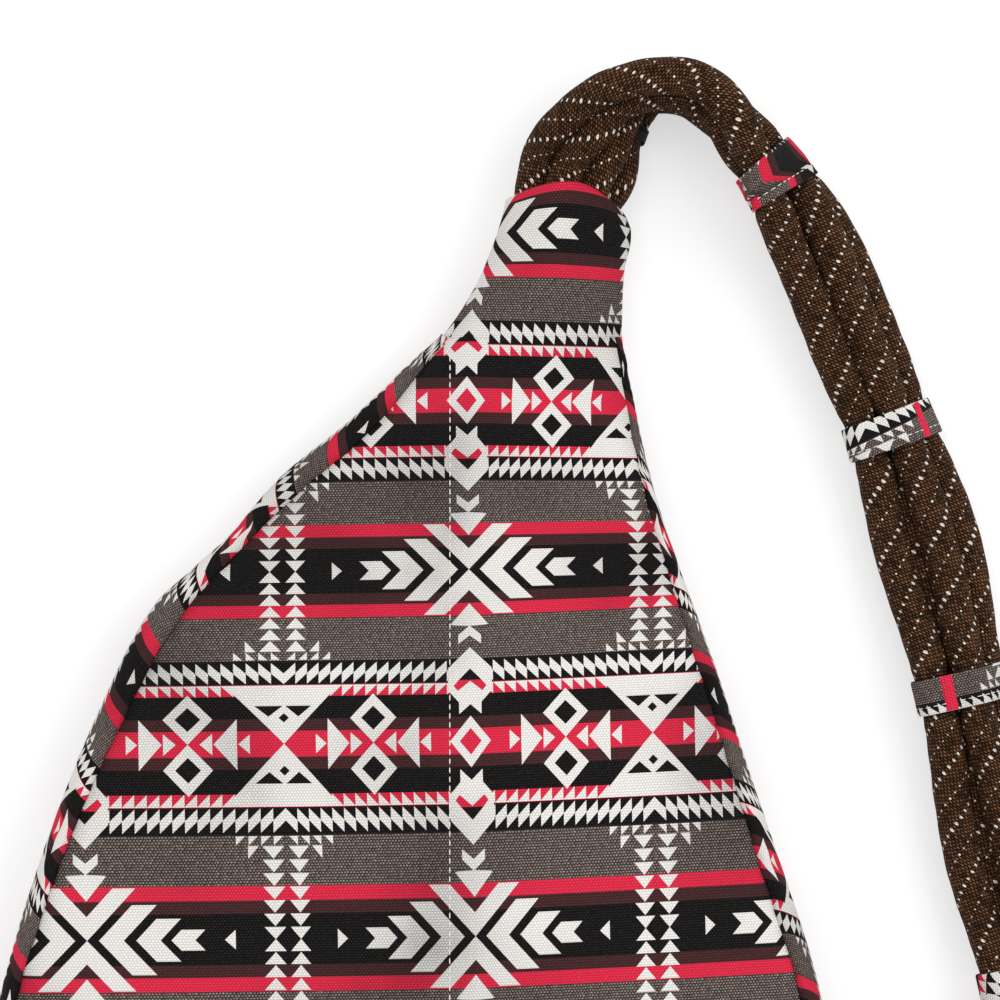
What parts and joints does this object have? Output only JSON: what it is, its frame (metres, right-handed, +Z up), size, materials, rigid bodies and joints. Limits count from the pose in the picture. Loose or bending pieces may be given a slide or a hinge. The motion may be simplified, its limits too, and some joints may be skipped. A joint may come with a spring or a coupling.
{
  "type": "rope sling bag",
  "caption": "Teardrop sling bag of printed canvas with a padded back, side gussets, zips on its front and a shoulder strap of braided ropes bound by cloth bands.",
  "frame": {"origin": "on the floor under the middle of the bag's box without its strap", "axes": "+Z up out of the padded back panel, +Y from the bottom gusset to the neck, +X towards the strap"},
  "size_m": [0.3633, 0.5562, 0.0441],
  "materials": {
    "canvas": "woven cotton canvas with a geometric stripe print",
    "lining": "plain dark lining cloth",
    "rope": "braided dark brown rope with light flecks",
    "black_tape": "matt black tape",
    "zip_tape": "woven tape with moulded teeth",
    "zip_metal": "dark plated metal"
  },
  "bodies": {
    "bag": {"back_panel": "canvas", "front_panel": "canvas", "gusset_left": "canvas", "gusset_bottom": "canvas", "gusset_right": "canvas", "pocket_lining": "lining", "rope_1": "rope", "rope_2": "rope", "rope_3": "rope", "rope_4": "rope", "strap_band_1": "canvas", "strap_band_2": "canvas", "strap_band_3": "canvas", "strap_band_4": "canvas", "strap_band_5": "canvas", "strap_tie": "black_tape", "neck_cuff": "canvas", "strap_end_cuff": "canvas", "main_zip_tape_a": "zip_tape", "main_zip_tape_b": "zip_tape", "main_zip_foot_stop": "zip_metal", "main_zip_head_stop": "zip_metal", "pocket_zip_tape_a": "zip_tape", "pocket_zip_tape_b": "zip_tape", "pocket_zip_foot_stop": "zip_metal", "pocket_zip_head_stop": "zip_metal"},
    "main_slider": {"main_zip_slider": "zip_metal"},
    "main_pull": {"main_zip_pull": "zip_metal"},
    "pocket_slider": {"pocket_zip_slider": "zip_metal"},
    "pocket_pull": {"pocket_zip_pull": "zip_metal"}
  },
  "joints": [
    {"name": "main_zip_slide", "type": "slide", "parent": "bag", "child": "main_slider", "axis": [0.1901, -0.9816, -0.0193], "range_m": [0, 0.27]},
    {"name": "main_pull_swing", "type": "hinge", "parent": "main_slider", "child": "main_pull", "pos_m": [0.06062, 0.15174, 0.00955], "axis": [0.968, 0.1842, 0.1707], "range_deg": [0, 160]},
    {"name": "pocket_zip_slide", "type": "slide", "parent": "bag", "child": "pocket_slider", "axis": [-1, 0, 0], "range_m": [0, 0.09]},
    {"name": "pocket_pull_swing", "type": "hinge", "parent": "pocket_slider", "child": "pocket_pull", "pos_m": [0.0393, 0.05002, 0.0019], "axis": [0, -0.999, -0.045], "range_deg": [0, 160]}
  ]
}
